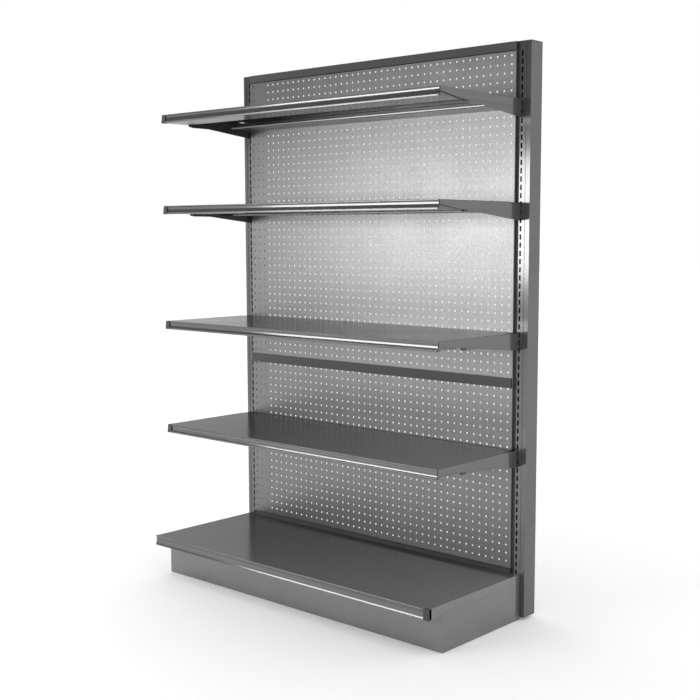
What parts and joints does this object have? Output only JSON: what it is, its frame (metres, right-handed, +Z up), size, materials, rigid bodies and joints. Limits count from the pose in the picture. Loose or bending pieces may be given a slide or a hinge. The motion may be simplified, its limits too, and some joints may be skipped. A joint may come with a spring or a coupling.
{
  "type": "gondola shelving bay",
  "caption": "Single-sided steel gondola shelving bay: slotted uprights on levelling feet, pegboard back, base deck, kick plate and lift-off shelves on hook-in arms.",
  "frame": {"origin": "on the floor, at the centre of the bounding box's footprint", "axes": "+X to the viewer's right along the shelves, +Y from the open front to the back panels, +Z up"},
  "size_m": [1.2406, 0.5074, 1.7445],
  "materials": {
    "frame_enamel": "grey semi-gloss enamel",
    "panel_enamel": "light grey satin enamel",
    "rail_enamel": "dark grey semi-gloss enamel",
    "shelf_enamel": "grey semi-gloss enamel",
    "strip_enamel": "light grey gloss enamel",
    "base_enamel": "grey semi-gloss enamel",
    "cap_plastic": "black, fine grain",
    "foot_zinc": "zinc plated"
  },
  "bodies": {
    "frame": {"left_upright": "frame_enamel", "left_upright_cap": "cap_plastic", "left_foot_plate": "frame_enamel", "left_base_arm": "frame_enamel", "left_base_end_panel": "base_enamel", "left_rear_foot_nut": "foot_zinc", "left_front_foot_nut": "foot_zinc", "right_upright": "frame_enamel", "right_upright_cap": "cap_plastic", "right_foot_plate": "frame_enamel", "right_base_arm": "frame_enamel", "right_base_end_panel": "base_enamel", "right_rear_foot_nut": "foot_zinc", "right_front_foot_nut": "foot_zinc", "top_rail": "rail_enamel", "centre_rail": "rail_enamel", "bottom_rail": "rail_enamel", "upper_back_panel": "panel_enamel", "lower_back_panel": "panel_enamel"},
    "left_rear_foot_body": {"left_rear_foot": "foot_zinc"},
    "left_front_foot_body": {"left_front_foot": "foot_zinc"},
    "right_rear_foot_body": {"right_rear_foot": "foot_zinc"},
    "right_front_foot_body": {"right_front_foot": "foot_zinc"},
    "shelf_1_left_arm_body": {"shelf_1_left_arm": "frame_enamel"},
    "shelf_1_right_arm_body": {"shelf_1_right_arm": "frame_enamel"},
    "shelf_1_tray": {"shelf_1": "shelf_enamel", "shelf_1_stiffener": "shelf_enamel"},
    "shelf_1_strip_body": {"shelf_1_strip": "strip_enamel"},
    "shelf_2_left_arm_body": {"shelf_2_left_arm": "frame_enamel"},
    "shelf_2_right_arm_body": {"shelf_2_right_arm": "frame_enamel"},
    "shelf_2_tray": {"shelf_2": "shelf_enamel", "shelf_2_stiffener": "shelf_enamel"},
    "shelf_2_strip_body": {"shelf_2_strip": "strip_enamel"},
    "shelf_3_left_arm_body": {"shelf_3_left_arm": "frame_enamel"},
    "shelf_3_right_arm_body": {"shelf_3_right_arm": "frame_enamel"},
    "shelf_3_tray": {"shelf_3": "shelf_enamel", "shelf_3_stiffener": "shelf_enamel"},
    "shelf_3_strip_body": {"shelf_3_strip": "strip_enamel"},
    "shelf_4_left_arm_body": {"shelf_4_left_arm": "frame_enamel"},
    "shelf_4_right_arm_body": {"shelf_4_right_arm": "frame_enamel"},
    "shelf_4_tray": {"shelf_4": "shelf_enamel", "shelf_4_stiffener": "shelf_enamel"},
    "shelf_4_strip_body": {"shelf_4_strip": "strip_enamel"},
    "deck": {"base_deck": "base_enamel", "base_deck_stiffener": "base_enamel"},
    "deck_strip": {"base_deck_strip": "strip_enamel"},
    "kick": {"kick_plate": "base_enamel"}
  },
  "joints": [
    {"name": "left_rear_foot_adjust", "type": "slide", "parent": "frame", "child": "left_rear_foot_body", "axis": [0, 0, -1], "range_m": [-0.0015, 0.012]},
    {"name": "left_front_foot_adjust", "type": "slide", "parent": "frame", "child": "left_front_foot_body", "axis": [0, 0, -1], "range_m": [-0.015, 0.012]},
    {"name": "right_rear_foot_adjust", "type": "slide", "parent": "frame", "child": "right_rear_foot_body", "axis": [0, 0, -1], "range_m": [-0.0015, 0.012]},
    {"name": "right_front_foot_adjust", "type": "slide", "parent": "frame", "child": "right_front_foot_body", "axis": [0, 0, -1], "range_m": [-0.015, 0.012]},
    {"name": "shelf_1_left_arm_unhook", "type": "slide", "parent": "frame", "child": "shelf_1_left_arm_body", "axis": [0, 0, 1], "range_m": [0, 0.006]},
    {"name": "shelf_1_right_arm_unhook", "type": "slide", "parent": "frame", "child": "shelf_1_right_arm_body", "axis": [0, 0, 1], "range_m": [0, 0.006]},
    {"name": "shelf_1_lift", "type": "slide", "parent": "shelf_1_left_arm_body", "child": "shelf_1_tray", "axis": [0, 0, 1], "range_m": [0, 0.04]},
    {"name": "shelf_1_strip_slide", "type": "slide", "parent": "shelf_1_tray", "child": "shelf_1_strip_body", "axis": [1, 0, 0], "range_m": [-0.019, 0]},
    {"name": "shelf_2_left_arm_unhook", "type": "slide", "parent": "frame", "child": "shelf_2_left_arm_body", "axis": [0, 0, 1], "range_m": [0, 0.006]},
    {"name": "shelf_2_right_arm_unhook", "type": "slide", "parent": "frame", "child": "shelf_2_right_arm_body", "axis": [0, 0, 1], "range_m": [0, 0.006]},
    {"name": "shelf_2_lift", "type": "slide", "parent": "shelf_2_left_arm_body", "child": "shelf_2_tray", "axis": [0, 0, 1], "range_m": [0, 0.04]},
    {"name": "shelf_2_strip_slide", "type": "slide", "parent": "shelf_2_tray", "child": "shelf_2_strip_body", "axis": [1, 0, 0], "range_m": [-0.019, 0]},
    {"name": "shelf_3_left_arm_unhook", "type": "slide", "parent": "frame", "child": "shelf_3_left_arm_body", "axis": [0, 0, 1], "range_m": [0, 0.006]},
    {"name": "shelf_3_right_arm_unhook", "type": "slide", "parent": "frame", "child": "shelf_3_right_arm_body", "axis": [0, 0, 1], "range_m": [0, 0.006]},
    {"name": "shelf_3_lift", "type": "slide", "parent": "shelf_3_left_arm_body", "child": "shelf_3_tray", "axis": [0, 0, 1], "range_m": [0, 0.04]},
    {"name": "shelf_3_strip_slide", "type": "slide", "parent": "shelf_3_tray", "child": "shelf_3_strip_body", "axis": [1, 0, 0], "range_m": [-0.019, 0]},
    {"name": "shelf_4_left_arm_unhook", "type": "slide", "parent": "frame", "child": "shelf_4_left_arm_body", "axis": [0, 0, 1], "range_m": [0, 0.006]},
    {"name": "shelf_4_right_arm_unhook", "type": "slide", "parent": "frame", "child": "shelf_4_right_arm_body", "axis": [0, 0, 1], "range_m": [0, 0.006]},
    {"name": "shelf_4_lift", "type": "slide", "parent": "shelf_4_left_arm_body", "child": "shelf_4_tray", "axis": [0, 0, 1], "range_m": [0, 0.04]},
    {"name": "shelf_4_strip_slide", "type": "slide", "parent": "shelf_4_tray", "child": "shelf_4_strip_body", "axis": [1, 0, 0], "range_m": [-0.019, 0]},
    {"name": "deck_lift", "type": "slide", "parent": "frame", "child": "deck", "axis": [0, 0, 1], "range_m": [0, 0.04]},
    {"name": "deck_strip_slide", "type": "slide", "parent": "deck", "child": "deck_strip", "axis": [1, 0, 0], "range_m": [0, 0.019]},
    {"name": "kick_plate_pull", "type": "slide", "parent": "frame", "child": "kick", "axis": [0, -1, 0], "range_m": [0, 0.045]}
  ],
  "couplings": [
    {"joint": "shelf_1_right_arm_unhook", "follows": "shelf_1_left_arm_unhook", "ratio": 1},
    {"joint": "shelf_2_right_arm_unhook", "follows": "shelf_2_left_arm_unhook", "ratio": 1},
    {"joint": "shelf_3_right_arm_unhook", "follows": "shelf_3_left_arm_unhook", "ratio": 1},
    {"joint": "shelf_4_right_arm_unhook", "follows": "shelf_4_left_arm_unhook", "ratio": 1}
  ]
}
